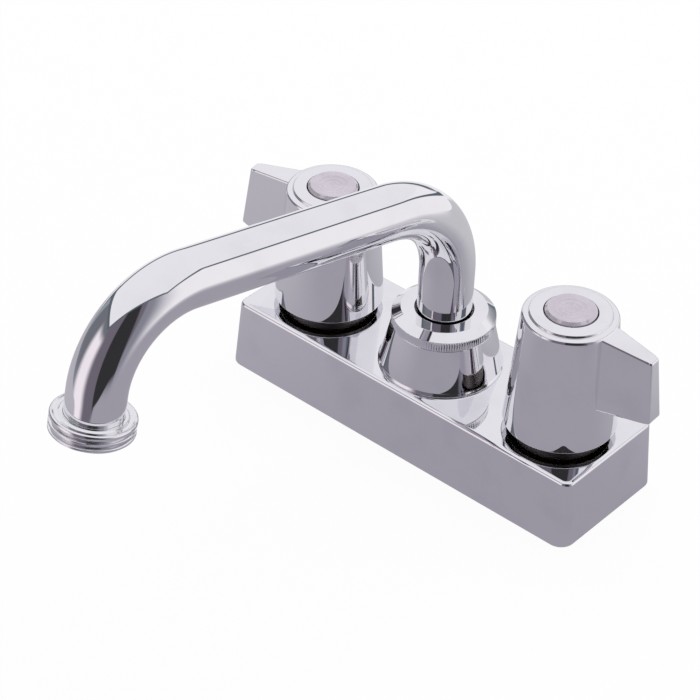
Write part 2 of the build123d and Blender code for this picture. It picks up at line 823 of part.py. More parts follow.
# Everything that comes once on the hot side and once on the cold side
for side, x, turn in (("hot", -half_span, 180 + hot_wing_turn), ("cold", half_span, cold_wing_turn)):
    inlet_shank(x, f"{side}_inlet_shank")
    mounting_washer(x, f"{side}_mounting_washer")
    mounting_nut(x, f"{side}_mounting_nut")
    ring_nut(x, f"{side}_ring_nut")
    valve_bonnet(x, f"{side}_bonnet")
    bonnet_seal(x, f"{side}_bonnet_seal")
    seat_seal(x, f"{side}_seat_seal")
    fixed_disc(x, f"{side}_fixed_disc")
    moving_disc(x, f"{side}_moving_disc")
    valve_stem(x, turn, f"{side}_stem")
    stem_seals(x, f"{side}_stem_seals")
    stem_clip(x, turn, f"{side}_stem_clip")
    handle_screw(x, turn, f"{side}_handle_screw")
    index_button(x, f"{side}_index_button")
    wing_handle(x, turn, f"{side}_handle")
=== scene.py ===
"""Looks of a utility sink faucet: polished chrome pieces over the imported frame, in metres."""

import json
import logging
import math
from contextlib import contextmanager
from dataclasses import dataclass
from enum import Enum
from typing import Callable, Iterator, Optional, Sequence, Union

import bmesh
import bpy
import numpy as np
from bpy.types import Material, Mesh, Node, NodeSocket, Object, World
from mathutils import Matrix, Vector


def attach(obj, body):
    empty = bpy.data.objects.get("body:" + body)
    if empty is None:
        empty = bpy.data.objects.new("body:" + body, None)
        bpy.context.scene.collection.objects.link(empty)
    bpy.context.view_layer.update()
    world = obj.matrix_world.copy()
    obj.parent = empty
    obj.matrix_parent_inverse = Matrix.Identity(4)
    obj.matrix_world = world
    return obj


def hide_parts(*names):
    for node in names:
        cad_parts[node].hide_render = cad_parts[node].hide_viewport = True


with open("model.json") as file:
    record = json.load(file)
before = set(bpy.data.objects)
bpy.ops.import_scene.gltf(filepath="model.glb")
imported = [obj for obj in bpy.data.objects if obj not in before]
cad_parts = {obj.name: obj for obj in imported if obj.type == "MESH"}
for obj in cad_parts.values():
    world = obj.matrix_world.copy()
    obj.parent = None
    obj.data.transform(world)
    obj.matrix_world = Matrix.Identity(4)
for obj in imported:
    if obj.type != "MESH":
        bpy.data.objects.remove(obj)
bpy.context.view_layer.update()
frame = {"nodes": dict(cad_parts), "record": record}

LOG = logging.getLogger("faucet")
MM = 0.001
TURN = 2 * math.pi
# In millimetres: half the distance between the valves, a hair's breadth, and radii that corners share
HALF_SPAN = 50.8
HAIR = 0.01
NICK, CRISP, KEEN, FINE, BROKEN, SOFT, ROUND = 0.05, 0.1, 0.15, 0.2, 0.25, 0.3, 0.4
Array = np.ndarray
Term = Union["SocketExpr", float]
Wobble = Callable[[Array, Array], Array]


class Slot(Enum):
    """The record's material slots."""

    CHROME = "chrome"
    COVER = "chrome_cover"
    BUTTON = "button"
    BRASS = "brass"
    RUBBER = "rubber"
    GASKET = "gasket"
    CERAMIC = "ceramic"
    STEEL = "steel"
    ACETAL = "washer_plastic"


class Body(Enum):
    """The moving bodies of the faucet."""

    ROOT = "root"
    SPOUT = "spout"
    HOT = "hot_control"
    COLD = "cold_control"


# Shader building


class SocketExpr:
    """A shader socket that takes part in sums: each operator adds one Math node."""

    def __init__(self, node: Node, graph: "Graph", output: Union[int, str] = 0) -> None:
        """Wraps one output of a node; new nodes join the graph."""
        self.graph = graph
        self.socket = node.outputs[output]

    def math(self, operation: str, *values: Term) -> "SocketExpr":
        """The result of a new Math node with these inputs, or with this expression alone."""
        made = self.graph.node("Math", dict(enumerate(values or [self])), operation=operation)
        return SocketExpr(made, self.graph)

    def __add__(self, other: Term) -> "SocketExpr":
        """Sum."""
        return self.math("ADD", self, other)

    __radd__ = __add__

    def __mul__(self, other: Term) -> "SocketExpr":
        """Product."""
        return self.math("MULTIPLY", self, other)

    __rmul__ = __mul__

    def __sub__(self, other: Term) -> "SocketExpr":
        """Difference."""
        return self.math("SUBTRACT", self, other)

    def __rsub__(self, other: float) -> "SocketExpr":
        """Difference from a number."""
        return self.math("SUBTRACT", other, self)

    def step(self, low: float, high: float) -> "SocketExpr":
        """Smooth step.

        Args:
            low: The value at which the step leaves 0.
            high: The value at which it reaches 1.

        Returns:
            An expression from 0 to 1.
        """
        ends = {"Value": self, "From Min": low, "From Max": high}
        made = self.graph.node("MapRange", ends, interpolation_type="SMOOTHSTEP", clamp=True)
        return SocketExpr(made, self.graph)

    def between(self, low: float, high: float, soft: float) -> "SocketExpr":
        """A band that is 1 from low to high, with edges that are soft by this half width."""
        return self.step(low - soft, low + soft) * (1 - self.step(high - soft, high + soft))


class Graph:
    """A node tree that is built node by node."""

    def __init__(self, owner: Union[Material, World]) -> None:
        """Empties the tree of a material or a world and keeps it.

        Args:
            owner: The material or the world.
        """
        owner.use_nodes = True
        self.tree = owner.node_tree
        self.tree.nodes.clear()

    def node(self, kind: str, inputs: Optional[dict] = None, **settings: object) -> Node:
        """Adds one node.

        Args:
            kind: The node's type without its prefix, such as TexNoise.
            inputs: What goes into its inputs, by name or number: a value, a colour of three parts, an
                expression, a socket, or a node for its first output.
            settings: Attributes that are set first.

        Returns:
            The node.
        """
        made = self.tree.nodes.new(f"ShaderNode{kind}")
        for name, value in settings.items():
            setattr(made, name, value)
        for name, value in (inputs or {}).items():
            socket = made.inputs[name]
            if isinstance(value, SocketExpr):
                value = value.socket
            if isinstance(value, Node):
                value = value.outputs[0]
            if isinstance(value, NodeSocket):
                self.tree.links.new(value, socket)
            else:
                socket.default_value = (*value, 1.0) if socket.type == "RGBA" else value
        return made

    def axes(self, space: str) -> list:
        """The three texture coordinates of a space, as expressions."""
        parts = self.node("SeparateXYZ", {0: self.node("TexCoord").outputs[space]})
        return [SocketExpr(parts, self, axis) for axis in "XYZ"]

    def mix(self, factor: SocketExpr, first: object, second: object) -> NodeSocket:
        """Blends two colours or sockets: factor 0 gives the first, 1 the second."""
        return self.node("Mix", {0: factor, 6: first, 7: second}, data_type="RGBA").outputs[2]

    def layers(self, tone: tuple, *layers: tuple) -> NodeSocket:
        """Lays tones over one another.

        Args:
            tone: The lowest tone, as a screen colour.
            layers: A mask and a screen colour each, from the lowest to the highest.

        Returns:
            The colour's socket.
        """
        colour = linear(tone)
        for mask, over in layers:
            colour = self.mix(mask, colour, linear(over))
        return colour

    def noise(self, size: float, detail: float, stretch: Sequence[float] = (1, 1, 1)) -> SocketExpr:
        """Noise on Object coordinates.

        Args:
            size: Size of a cell in millimetres.
            detail: Octaves.
            stretch: Scale of each axis before the noise.

        Returns:
            An expression from 0 to 1.
        """
        place = self.node("TexCoord").outputs["Object"]
        mapped = self.node("Mapping", {"Vector": place, "Scale": tuple(stretch)})
        made = self.node("TexNoise", {"Vector": mapped, "Scale": 1 / (size * MM), "Detail": detail})
        return SocketExpr(made, self)


def linear(tone: tuple) -> tuple:
    """A colour for a shader from a screen colour.

    Args:
        tone: Red, green and blue from 0 to 255.

    Returns:
        Scene-linear red, green and blue.
    """
    knee, slope, offset, power = 0.04045, 12.92, 0.055, 2.4
    shares = [part / 255 for part in tone]
    return tuple(s / slope if s < knee else ((s + offset) / (1 + offset)) ** power for s in shares)


@dataclass(frozen=True)
class Finish:
    """What all finishes share: two tones, a gloss, and smudges that take some of it away."""

    name: str
    colour: tuple
    stain: tuple
    gloss: float
    smudge: float

    def paint(self, graph: Graph) -> tuple:
        """Builds the finish's own pattern.

        Args:
            graph: The material's graph.

        Returns:
            The shader's inputs and the surface's height in metres.
        """
        raise NotImplementedError

    def material(self) -> Material:
        """Builds the material.

        Returns:
            A material whose colour, roughness and bump vary over the surface.
        """
        made = bpy.data.materials.new(self.name)
        graph = Graph(made)
        inputs, height = self.paint(graph)
        bump = graph.node("Bump", {"Strength": 1.0, "Distance": 1.0, "Height": height})
        shader = graph.node("BsdfPrincipled", {**inputs, "Normal": bump})
        graph.node("OutputMaterial", {"Surface": shader})
        return made


@dataclass(frozen=True)
class Metal(Finish):
    """A metal finish: tone, gloss, smudges, faint waves of the surface and fine tool lines."""

    wave_size: float
    wave_depth: float
    line_depth: float = 0.0
    line_stretch: tuple = (1, 1, 40)
    line_size: float = 0.9
    smudge_size: float = 14.0
    speck_size: float = 14.0 / 9
    patch_edges: tuple = (0.45, 0.75)
    speck_edges: tuple = (0.55, 0.8)
    patch_share: float = 0.7
    speck_share: float = 0.3

    def paint(self, graph: Graph) -> tuple:
        """Worn patches and specks dull the metal; waves and tool lines bend its reflections.

        Args:
            graph: The material's graph.

        Returns:
            The shader's inputs and the surface's height.
        """
        patches = graph.noise(self.smudge_size, 4.0).step(*self.patch_edges)
        specks = graph.noise(self.speck_size, 3.0).step(*self.speck_edges)
        worn = patches * self.patch_share + specks * self.speck_share
        height = graph.noise(self.wave_size, 1.0) * (self.wave_depth * MM)
        if self.line_depth:
            lines = graph.noise(self.line_size, 2.0, self.line_stretch)
            height = height + lines * (self.line_depth * MM)
        inputs = {
            "Base Color": graph.mix(worn, self.colour, self.stain),
            "Metallic": 1.0,
            "Roughness": self.gloss + worn * self.smudge,
        }
        return inputs, height


@dataclass(frozen=True)
class Solid(Finish):
    """A finish that isn't metal: rubber, ceramic, acetal or acrylic."""

    grain_size: float
    grain_depth: float
    coat: float = 0.0
    metallic: float = 0.0
    coat_gloss: float = 0.03
    mottle_size: float = 8.0
    mottle_edges: tuple = (0.3, 0.7)
    grain_edges: tuple = (0.4, 0.7)

    def paint(self, graph: Graph) -> tuple:
        """A mottled colour, an uneven gloss and a fine grain.

        Args:
            graph: The material's graph.

        Returns:
            The shader's inputs and the surface's height.
        """
        mottle = graph.noise(self.mottle_size, 4.0).step(*self.mottle_edges)
        grain = graph.noise(self.grain_size, 3.0)
        inputs = {
            "Base Color": graph.mix(mottle, self.colour, self.stain),
            "Metallic": self.metallic,
            "Roughness": self.gloss + grain.step(*self.grain_edges) * self.smudge,
            "Coat Weight": self.coat,
            "Coat Roughness": self.coat_gloss,
        }
        return inputs, grain * (self.grain_depth * MM)


CHROME_TONES = (0.86, 0.855, 0.875), (0.80, 0.795, 0.82)
# The ring nuts and bonnets get these dark grey tones in place of brass: painted shade for the gap under the
# handles, where they show
SHADE_PAINTED_BRASS_TONES = (0.17, 0.158, 0.15), (0.11, 0.102, 0.098)
ALONG_SHEET = (12, 12, 1)
FINISHES = {
    Slot.CHROME: Metal("drawn_chrome", *CHROME_TONES, 0.025, 0.05, 22, 0.004),
    Slot.COVER: Metal("cast_chrome", (0.85, 0.845, 0.87), (0.79, 0.785, 0.815), 0.03, 0.06, 14, 0.006),
    Slot.BRASS: Metal("turned_brass", (0.70, 0.52, 0.24), (0.48, 0.34, 0.16), 0.22, 0.25, 6, 0.01, 0.008),
    Slot.STEEL: Metal(
        "stamped_steel", (0.56, 0.56, 0.57), (0.44, 0.44, 0.45), 0.24, 0.2, 6, 0.01, 0.01, ALONG_SHEET
    ),
    Slot.RUBBER: Solid("black_rubber", (0.025, 0.025, 0.027), (0.05, 0.05, 0.053), 0.55, 0.2, 0.6, 0.02),
    Slot.GASKET: Solid("foam_gasket", (0.05, 0.05, 0.055), (0.09, 0.09, 0.095), 0.75, 0.2, 0.8, 0.12),
    Slot.CERAMIC: Solid("white_ceramic", (0.82, 0.81, 0.78), (0.88, 0.87, 0.85), 0.12, 0.1, 0.4, 0.002, 0.3),
    Slot.ACETAL: Solid("white_acetal", (0.78, 0.78, 0.75), (0.84, 0.84, 0.81), 0.35, 0.15, 0.5, 0.004),
    Slot.BUTTON: Solid(
        "backed_acrylic", (0.56, 0.51, 0.57), (0.64, 0.59, 0.65), 0.12, 0.1, 3.0, 0.004, 1.0, 0.35
    ),
}
TURNED_FINISH = Metal("turned_chrome", *CHROME_TONES, 0.15, 0.05, 22, 0.004)
SHADE_PAINTED_BRASS_FINISH = Metal("shade_painted_brass", *SHADE_PAINTED_BRASS_TONES, 0.4, 0.25, 5, 0.02, 0.01)
# The handles' insides: a raw casting tone, darkened further as painted shade in the hollow
CASTING_AND_SHADE_FINISH = Solid("raw_casting_and_painted_shade", (0.130, 0.122, 0.135), (0.175, 0.165, 0.180), 0.6, 0.2, 0.9, 0.05)


# Surfaces, in millimetres


@dataclass
class Surface:
    """Points and faces of a mesh, and the faces that take the second material."""

    points: Array
    faces: list
    second: Sequence[int] = ()


def grid_faces(rows: int, columns: int, closed: bool) -> list:
    """Quads of a grid of points that are stored row by row, each row a ring.

    Args:
        rows: Number of rows.
        columns: Points in a row.
        closed: Whether the last row joins the first.

    Returns:
        Corner numbers of each quad.
    """
    i, j = np.meshgrid(np.arange(rows if closed else rows - 1), np.arange(columns), indexing="ij")
    below, above = i * columns, ((i + 1) % rows) * columns
    after = (j + 1) % columns
    quads = np.stack([below + j, below + after, above + after, above + j], axis=-1).reshape(-1, 4)
    return [tuple(quad) for quad in quads.tolist()]


def rounded(*corners: tuple, closed: bool = True, steps: int = 7, hold: float = 0.03) -> Array:
    """An outline whose corners are arcs, with a holding point just before and after each arc.

    Each corner is (across, up, radius). The arc touches both sides at radius / tan(half the inner angle)
    from the corner, and runs in equal angles about its centre.

    Args:
        corners: The corners, in order; a radius of 0 keeps a corner sharp.
        closed: Whether the outline returns to its start.
        steps: Arc steps at each corner.
        hold: Distance of the holding points from an arc's ends.

    Returns:
        The outline's points, one to a row.
    """
    places = np.array([corner[:2] for corner in corners], float)
    count = len(places)
    line = []
    for index, (here, corner) in enumerate(zip(places, corners)):
        radius = corner[2]
        if radius == 0 or (not closed and index in (0, count - 1)):
            line.append(here)
            continue
        before, after = places[index - 1] - here, places[(index + 1) % count] - here
        reach_before, reach_after = np.linalg.norm(before), np.linalg.norm(after)
        before, after = before / reach_before, after / reach_after
        half = math.acos(float(np.clip(before @ after, -1, 1))) / 2
        run = radius / math.tan(half)
        middle = (before + after) / np.linalg.norm(before + after)
        centre = here + middle * (radius / math.sin(half))
        start, end = here + before * run, here + after * run
        sweep = np.linspace(0, 1, steps + 1)[:, None]
        total = math.pi - 2 * half
        falling, rising = np.sin((1 - sweep) * total), np.sin(sweep * total)
        arc = (falling * (start - centre) + rising * (end - centre)) / math.sin(total)
        if run + 2 * hold < reach_before / 2:
            line.append(start + before * hold)
        line.extend(centre + arc)
        if run + 2 * hold < reach_after / 2:
            line.append(end + after * hold)
    return np.array(line)


def lathe(
    outline: Array, middle: float, segments: int, closed: bool = True, wobble: Optional[Wobble] = None
) -> Surface:
    """A surface of revolution about an upright axis that stands on the X axis.

    Point (row, column) is (middle + r cos t, r sin t, z), where r and z come from the outline and t is the
    column's share of a turn. The wobble adds to r.

    Args:
        outline: Points (r, z); anticlockwise round the material, so that faces point outwards.
        middle: Where the axis stands on X.
        segments: Columns.
        closed: Whether the outline is a ring; if not, its ends lie on the axis and close with a pole.
        wobble: Change of radius for the outline's rows and the columns' angles.

    Returns:
        The surface.
    """
    angle = np.arange(segments) / segments * TURN
    body = outline if closed else outline[1:-1]
    level = np.zeros((1, segments))
    radius = body[:, :1] + level
    if wobble is not None:
        radius = radius + wobble(body, angle)
    across, along = middle + radius * np.cos(angle), radius * np.sin(angle)
    points = np.stack([across, along, body[:, 1:] + level], axis=-1).reshape(-1, 3)
    rows = len(body)
    faces = grid_faces(rows, segments, closed)
    if not closed:
        poles = np.array([[middle, 0, outline[0, 1]], [middle, 0, outline[-1, 1]]])
        first, last, base = rows * segments, rows * segments + 1, (rows - 1) * segments
        faces += [((k + 1) % segments, k, first) for k in range(segments)]
        faces += [(base + k, base + (k + 1) % segments, last) for k in range(segments)]
        points = np.vstack([points, poles])
    return Surface(points, faces)


def add_object(name: str, data: object) -> Object:
    """Puts a mesh, lamp or camera in the scene, at the origin.

    Args:
        name: The object's name.
        data: Its mesh, lamp or camera.

    Returns:
        The object.
    """
    made = bpy.data.objects.new(name, data)
    bpy.context.scene.collection.objects.link(made)
    return made


def shade_smooth(mesh: Mesh, sharp: float) -> None:
    """Shades a mesh smooth; edges that turn by more degrees than this stay sharp."""
    mesh.polygons.foreach_set("use_smooth", np.ones(len(mesh.polygons), bool))
    mesh.set_sharp_from_angle(angle=math.radians(sharp))


@contextmanager
def edited(mesh: Mesh) -> Iterator[bmesh.types.BMesh]:
    """Opens a mesh for editing, and writes it back.

    Args:
        mesh: The mesh.

    Yields:
        The form of it that can be edited.
    """
    work = bmesh.new()
    work.from_mesh(mesh)
    yield work
    work.to_mesh(mesh)
    work.free()


def finish_mesh(mesh: Mesh, sharp: float) -> None:
    """Points the faces outwards and shades them smooth up to an angle.

    Args:
        mesh: The mesh.
        sharp: Edges that turn by more degrees than this stay sharp.
    """
    with edited(mesh) as work:
        bmesh.ops.recalc_face_normals(work, faces=work.faces)
    shade_smooth(mesh, sharp)
    mesh.update()


def piece(name: str, surface: Surface, materials: Sequence[Material], sharp: float = 50.0) -> Object:
    """Makes a mesh object at the origin from a surface.

    Args:
        name: The object's name.
        surface: Points in millimetres, and faces.
        materials: One or two materials.
        sharp: Edges that turn by more degrees than this stay sharp.

    Returns:
        The object, linked to the scene.
    """
    mesh = bpy.data.meshes.new(name)
    mesh.from_pydata((surface.points * MM).tolist(), [], surface.faces)
    for material in materials:
        mesh.materials.append(material)
    index = np.zeros(len(mesh.polygons), np.int32)
    index[list(surface.second)] = 1
    mesh.polygons.foreach_set("material_index", index)
    made = add_object(name, mesh)
    finish_mesh(mesh, sharp)
    LOG.info("%s: %d faces", name, len(mesh.polygons))
    return made


def stand_for(made: Object, node: str, body: Body) -> None:
    """Puts a piece in a node's place: it rides on the node's body, and the node is hidden.

    Args:
        made: The piece.
        node: The node that it replaces.
        body: The body that it rides on.
    """
    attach(made, body.value)
    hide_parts(node)


def ramp(distance: Array, run: float) -> Array:
    """Rises from 0 to 1 over a run and stays there."""
    return np.clip(distance / run, 0, 1)


class Studio:
    """Camera, lamp, floor and the surroundings that the chrome shows."""

    # The camera: degrees round, up and over, distance and aim in millimetres, and its field of view
    azimuth = 39.445
    elevation = 37.5
    roll = 2.626
    distance = 897.6
    aim_height = 40.0
    shift_right = -30.969
    shift_up = -9.666
    focal_pixels = 2661.52
    frame_pixels = 700
    sensor = 36.0
    # The floor: half its side, its own light for the camera, and the edges of the grey sheet that the metal
    # sees on it: left, right, front, back
    floor_half = 3000.0
    floor_glow = 0.94
    sheet = (-700.0, 280.0, -320.0, 600.0)
    # The lamp, in metres, degrees and watts
    lamp_side = 1.2
    lamp_place = (-0.3, 0.5, 1.5)
    lamp_tilt = -18.0
    lamp_power = 9.0
    # The ceiling's straight edges and the far seam, as circles of the sky: azimuth, elevation, radius
    ceiling = ((62.7, 37.1, 98.3), (127.8, 23.2, 96.6), (-145.3, 54.6, 89.7))
    far_seam = (-171.6, 46.2, 91.0)

    def build(self) -> None:
        """Makes the camera, the floor, the lamp and the world."""
        self.camera()
        self.floor()
        self.lamp()
        self.world()
        bpy.context.scene.view_settings.view_transform = "Standard"

    def camera(self) -> None:
        """Places the camera at the photograph's angle."""
        turn, lift, lean = (math.radians(v) for v in (self.azimuth, self.elevation, self.roll))
        back = Vector((math.sin(turn) * math.cos(lift), -math.cos(turn) * math.cos(lift), math.sin(lift)))
        right = Vector((math.cos(turn), math.sin(turn), 0))
        up = back.cross(right)
        aim = Vector((0, 0, self.aim_height))
        place = aim + right * self.shift_right + up * self.shift_up + back * self.distance
        across = right * math.cos(lean) + up * math.sin(lean)
        upright = up * math.cos(lean) - right * math.sin(lean)
        data = bpy.data.cameras.new("camera")
        data.sensor_width = self.sensor
        data.lens = self.focal_pixels / self.frame_pixels * self.sensor
        made = add_object("camera", data)
        turned = Matrix((across, upright, back)).transposed().to_4x4()
        made.matrix_world = Matrix.Translation(place * MM) @ turned
        bpy.context.scene.camera = made

    def floor(self) -> None:
        """A pale floor at the deck face that keeps a faint shadow.

        The metal sees it as a grey sheet; beyond the sheet's edges it sees the studio's world.
        """
        material = bpy.data.materials.new("pale_floor")
        graph = Graph(material)
        pale = graph.mix(graph.noise(25.0, 2.0).step(0.2, 0.8), (0.9, 0.9, 0.9), (0.92, 0.92, 0.92))
        diffuse = graph.node("BsdfDiffuse", {"Color": pale})
        glow = graph.node("Emission", {"Color": (1, 1, 1), "Strength": 1.0})
        path = graph.node("LightPath")
        seen = SocketExpr(path, graph, "Is Camera Ray") * self.floor_glow
        shown = graph.node("MixShader", {0: seen, 1: diffuse, 2: glow})
        x, y, _ = graph.axes("Object")
        left, right, front, back = (side * MM for side in self.sheet)
        crisp, faded, soft = 0.01, 0.13, 0.012
        inside = x.step(left - crisp, left + crisp) * (1 - x.step(right - faded, right + faded))
        inside = inside * y.between(front, back, soft)
        grey = graph.layers(
            (190, 186, 194),
            (x.step(-0.17, 0.01), (165, 162, 173)),
            (y.step(0.0, 0.16), (203, 202, 206)),
            (y.step(0.0, 0.05) * x.step(-0.08, -0.11), (243, 242, 246)),
        )
        sheet = graph.node("Emission", {"Color": grey, "Strength": 1.0})
        mirrored = graph.node("MixShader", {0: inside, 1: graph.node("BsdfTransparent"), 2: sheet})
        both = graph.node("MixShader", {0: path.outputs["Is Glossy Ray"], 1: shown, 2: mirrored})
        graph.node("OutputMaterial", {"Surface": both})
        half = self.floor_half * MM
        mesh = bpy.data.meshes.new("floor")
        corners = [(-half, -half, 0), (half, -half, 0), (half, half, 0), (-half, half, 0)]
        mesh.from_pydata(corners, [], [(0, 1, 2, 3)])
        mesh.materials.append(material)
        made = add_object("floor", mesh)

    def lamp(self) -> None:
        """One large soft lamp overhead, for what isn't metal."""
        data = bpy.data.lights.new("overhead", "AREA")
        data.shape = "RECTANGLE"
        data.size, data.size_y, data.energy = self.lamp_side, self.lamp_side, self.lamp_power
        made = add_object("overhead", data)
        tilt = Matrix.Rotation(math.radians(self.lamp_tilt), 4, "X")
        made.matrix_world = Matrix.Translation(self.lamp_place) @ tilt
        made.visible_glossy = False

    def world(self) -> None:
        """The studio: a white ceiling and wall, a dark cloth in front and a bright sheet at the left.

        The metal sees it by direction, in degrees; azimuth runs from +X towards +Y. Each straight edge of the
        ceiling is a circle of the sky: a direction lies above it when it is within an angle of its axis.
        """
        made = bpy.data.worlds.new("studio")
        bpy.context.scene.world = made
        graph = Graph(made)
        x, y, z = graph.axes("Generated")
        degree = math.degrees(1)
        turn, up = y.math("ARCTAN2", y, x) * degree, z.math("ARCSINE") * degree

        def inside(azimuth: float, elevation: float, radius: float) -> SocketExpr:
            """Degrees by which the direction lies inside a circle of the sky.

            Args:
                azimuth: Azimuth of the circle's axis.
                elevation: Elevation of its axis.
                radius: Its radius in degrees.

            Returns:
                The expression, which is 0 on the circle.
            """
            across, lift = math.radians(azimuth), math.radians(elevation)
            flat = math.cos(lift)
            cosine = x * (math.cos(across) * flat) + y * (math.sin(across) * flat) + z * math.sin(lift)
            return radius - cosine.math("ARCCOSINE") * degree

        slant = turn + up * 0.18
        left, front, back = (inside(*edge) for edge in self.ceiling)
        above = left.step(-0.5, 0.5) * front.step(-0.5, 0.5) * back.step(-0.5, 0.5)
        # Dark lines: the seams along the ceiling's edges, then the horizon
        rim, fold, past = (-2.8, 0.0, 0.6), (-1.9, 1.9, 0.7), (-3.4, -2.2)
        line = left.between(*rim) * front.step(*past)
        line = line + front.between(*rim) * left.step(*past) * turn.between(-180, 9, 3)
        line = line + back.between(*fold) * turn.between(9, 50, 1)
        line = line + inside(*self.far_seam).between(*fold) * turn.between(50, 118, 1)
        line = line + up.between(-6, 3, 2.5) * turn.between(104, 168, 5)
        # The walls, the bright sheet, the cloth, the ceiling and the lines
        colour = graph.layers(
            (150, 152, 160),
            (up.step(-24, 4), (116, 118, 126)),
            (turn.between(-100, 12, 6), (113, 106, 119)),
            (turn.between(-137, -98, 10) * up.between(-28, 33, 5), (252, 243, 250)),
            (turn.step(-17, -11), (140, 140, 152)),
            (turn.step(-6, 22), (250, 248, 251)),
            (turn.step(100, 135), (214, 219, 221)),
            (turn.step(150, 172), (150, 160, 166)),
            (turn.step(-64, -60) * (1 - slant.step(-18, -14)), (52, 51, 53)),
            (above, (243, 242, 246)),
            (line.step(0.0, 1.0), (96, 104, 114)),
        )
        shown, plain, soft = (
            graph.node("Background", {"Color": light, "Strength": strength})
            for light, strength in ((colour, 1.0), ((1, 1, 1), 1.0), ((0.97, 0.97, 1.0), 0.75))
        )
        path = graph.node("LightPath").outputs
        inner = graph.node("MixShader", {0: path["Is Glossy Ray"], 1: soft, 2: shown})
        outer = graph.node("MixShader", {0: path["Is Camera Ray"], 1: inner, 2: plain})
        graph.node("OutputWorld", {"Surface": outer})


# The faucet's pieces


@dataclass
class Base:
    """The shroud and the hub that stands on it."""

    length: float = 149.0
    width: float = 50.6
    height: float = 25.6
    draft: float = 4.4
    corner: float = 5.3
    edge: float = 1.5
    wall: float = 2.2
    flat_margin: float = 0.35
    tower_hole: float = 13.6
    middle_hole: float = 13.4
    hole_sides: int = 128
    corner_steps: int = 14
    sharp: float = 40.0
    hub_foot: float = 21.7
    hub_bead_width: float = 0.75
    hub_bead_height: float = 1.3
    hub_bead_round: float = 1.6
    hub_head: float = 17.4
    hub_top: float = 42.2
    hub_bore: float = 15.95
    hub_web: float = 32.1
    hub_throat: float = 13.05
    hub_sides: int = 256

    def loop(self, inset: float, height: float) -> Array:
        """A rounded rectangle at one height.

        Each corner is an arc about a fixed centre, whose radius shrinks with the inset.

        Args:
            inset: Distance in from the foot's outline.
            height: Height of the loop.

        Returns:
            The loop's points, anticlockwise.
        """
        radius = self.corner - inset
        quarter = np.linspace(0, math.pi / 2, self.corner_steps + 1)
        centre_x, centre_y = self.length / 2 - self.corner, self.width / 2 - self.corner
        parts = []
        for k, (side_x, side_y) in enumerate(((1, 1), (-1, 1), (-1, -1), (1, -1))):
            angle = quarter + k * math.pi / 2
            x, y = side_x * centre_x + radius * np.cos(angle), side_y * centre_y + radius * np.sin(angle)
            parts.append(np.column_stack([x, y, np.full(len(angle), height)]))
        return np.vstack(parts)

    def shroud(self) -> Surface:
        """The shroud's walls: loops from the ceiling down the inside, round the foot, up and over the edge.

        Returns:
            The surface, without its flat top and ceiling.
        """
        lean = math.tan(math.radians(self.draft))
        top_inset = self.height * lean
        ceiling = self.height - self.wall
        outline = rounded(
            (self.wall + ceiling * lean, ceiling, 0),
            (self.wall, 0, SOFT),
            (0, 0, SOFT),
            (top_inset, self.height, self.edge),
            (top_inset + self.edge + self.flat_margin, self.height, 0),
            closed=False,
        )
        loops = [self.loop(inset, height) for inset, height in outline]
        return Surface(np.vstack(loops), grid_faces(len(loops), len(loops[0]), False))

    def build_shroud(self) -> Object:
        """Makes the shroud piece: the walls, then the two flat faces are filled round their holes.

        Returns:
            The piece.
        """
        made = piece("shroud_shell", self.shroud(), [FINISHES[Slot.COVER].material()])
        ring = len(self.loop(0, 0))
        circle = np.arange(self.hole_sides) / self.hole_sides * TURN
        holes = ((-HALF_SPAN, self.tower_hole), (0.0, self.middle_hole), (HALF_SPAN, self.tower_hole))
        walls = []
        with edited(made.data) as work:
            work.verts.ensure_lookup_table()
            borders = {self.height - self.wall: work.verts[:ring], self.height: work.verts[-ring:]}
            for height, border in borders.items():
                flat = []
                for centre, radius in holes:
                    places = np.column_stack([centre + radius * np.cos(circle), radius * np.sin(circle)]) * MM
                    flat.append([work.verts.new((x, y, height * MM)) for x, y in places])
                edges = [work.edges.new((one[k - 1], one[k])) for one in flat for k in range(len(one))]
                edges += [work.edges.get((border[k - 1], border[k])) for k in range(ring)]
                bmesh.ops.triangle_fill(work, use_beauty=True, use_dissolve=False, edges=edges)
                walls.append(flat)
            for lower, upper in zip(*walls):
                for k in range(len(upper)):
                    work.faces.new((upper[k - 1], upper[k], lower[k], lower[k - 1]))
        finish_mesh(made.data, self.sharp)
        return made

    def build_hub(self) -> Object:
        """Makes the hub: a cone with softened edges, bored for the nut and the socket.

        Returns:
            The piece.
        """
        outline = rounded(
            (self.hub_throat, self.height, KEEN),
            (self.hub_foot, self.height, ROUND),
            (self.hub_foot - self.hub_bead_width, self.height + self.hub_bead_height, self.hub_bead_round),
            (self.hub_head, self.hub_top, SOFT),
            (self.hub_bore, self.hub_top, FINE),
            (self.hub_bore, self.hub_web, CRISP),
            (self.hub_throat, self.hub_web, CRISP),
        )
        return piece("hub_cone", lathe(outline, 0, self.hub_sides), [FINISHES[Slot.COVER].material()])

    def build(self) -> None:
        """Makes and places the base's pieces."""
        stand_for(self.build_shroud(), "base_shroud", Body.ROOT)
        stand_for(self.build_hub(), "spout_hub", Body.ROOT)


